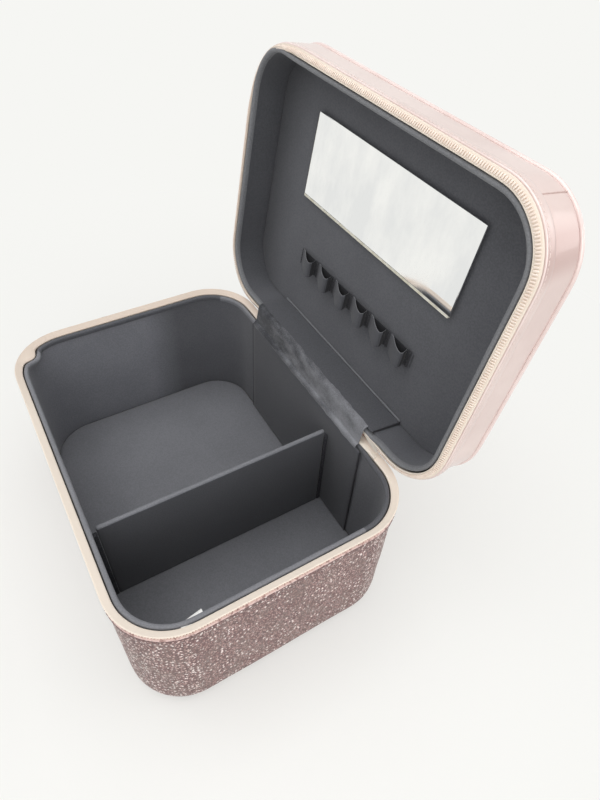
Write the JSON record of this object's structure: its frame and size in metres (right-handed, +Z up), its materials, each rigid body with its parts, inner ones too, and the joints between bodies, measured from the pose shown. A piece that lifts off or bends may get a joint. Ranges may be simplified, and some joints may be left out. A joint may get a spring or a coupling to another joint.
{
  "type": "makeup case",
  "caption": "Rigid-walled makeup case with a zipped lid on a fabric hinge, lift-out divider, lid mirror and brush loops.",
  "frame": {"origin": "centre of the base's underside, on the surface that the case stands on", "axes": "+Z up, +Y towards the hinge at the rear, +X along the long side towards the smaller compartment; the lid stands open"},
  "size_m": [0.2502, 0.2289, 0.2819],
  "materials": {
    "grey_board": "uncoated grey board, hidden between cover and lining",
    "rose_glitter_cloth": "dusty rose cloth with fine pink glitter, rough and sparkling",
    "smooth_underside": "smooth rose imitation leather",
    "rose_smooth_cover": "soft rose-gold imitation leather with a satin sheen",
    "slate_lining": "matt slate-grey lining with a fine linen grain",
    "slate_hinge_velvet": "short-pile grey hinge cloth, slightly creased",
    "charcoal_elastic": "ribbed grey elastic",
    "black_hook_pad": "hook-and-loop pad, dark grey",
    "champagne_zip_tape": "woven champagne zip tape",
    "champagne_zip_coil": "nylon zip coil, champagne",
    "white_blank_tag": "blank white satin tag",
    "mirror_glass": "flat mirror",
    "cream_mirror_backing": "cream mirror backing",
    "rose_metal": "polished rose-gold plate"
  },
  "bodies": {
    "base": {"base_wall_board": "grey_board", "base_bottom_board": "grey_board", "base_glitter_cover": "rose_glitter_cloth", "base_underside_cover": "smooth_underside", "base_wall_lining": "slate_lining", "base_floor_lining": "slate_lining", "base_rear_panel": "slate_lining", "base_zip_tape": "champagne_zip_tape", "base_zip_coil": "champagne_zip_coil", "zip_end_patch": "champagne_zip_tape", "blank_tag": "white_blank_tag", "hinge_lining_strip": "slate_hinge_velvet", "hinge_cover_strip": "rose_smooth_cover"},
    "lid": {"lid_wall_board": "grey_board", "lid_top_board": "grey_board", "lid_side_cover": "rose_smooth_cover", "lid_top_cover": "rose_smooth_cover", "lid_piping": "rose_smooth_cover", "lid_wall_lining": "slate_lining", "lid_board_lining": "slate_lining", "lid_rear_panel": "slate_lining", "lid_zip_tape": "champagne_zip_tape", "lid_zip_coil": "champagne_zip_coil", "mirror_backing": "cream_mirror_backing", "mirror_glass": "mirror_glass", "brush_loop_band": "charcoal_elastic"},
    "divider": {"divider_board": "slate_lining", "divider_front_hook_pad": "black_hook_pad", "divider_rear_hook_pad": "black_hook_pad"},
    "slider_right": {"zip_slider_right": "rose_metal"},
    "pull_right": {"pull_tab_right": "rose_metal"},
    "slider_left": {"zip_slider_left": "rose_metal"},
    "pull_left": {"pull_tab_left": "rose_metal"}
  },
  "joints": [
    {"name": "lid_hinge", "type": "hinge", "parent": "base", "child": "lid", "pos_m": [0, 0.0882, 0.1065], "axis": [1, 0, 0], "range_deg": [0, 98.5], "deforming": ["hinge_lining_strip", "hinge_cover_strip"]},
    {"name": "divider_lift", "type": "slide", "parent": "base", "child": "divider", "axis": [0, 0, -1], "range_m": [-0.095, 0]},
    {"name": "zip_run_right", "type": "slide", "parent": "base", "child": "slider_right", "axis": [1, 0, 0], "range_m": [0, 0.018]},
    {"name": "pull_swing_right", "type": "hinge", "parent": "slider_right", "child": "pull_right", "pos_m": [0.0645, 0.0943, 0.1004], "axis": [1, 0, 0], "range_deg": [-10, 90]},
    {"name": "zip_run_left", "type": "slide", "parent": "base", "child": "slider_left", "axis": [-1, 0, 0], "range_m": [0, 0.018]},
    {"name": "pull_swing_left", "type": "hinge", "parent": "slider_left", "child": "pull_left", "pos_m": [-0.0645, 0.0943, 0.1004], "axis": [1, 0, 0], "range_deg": [-10, 90]}
  ]
}
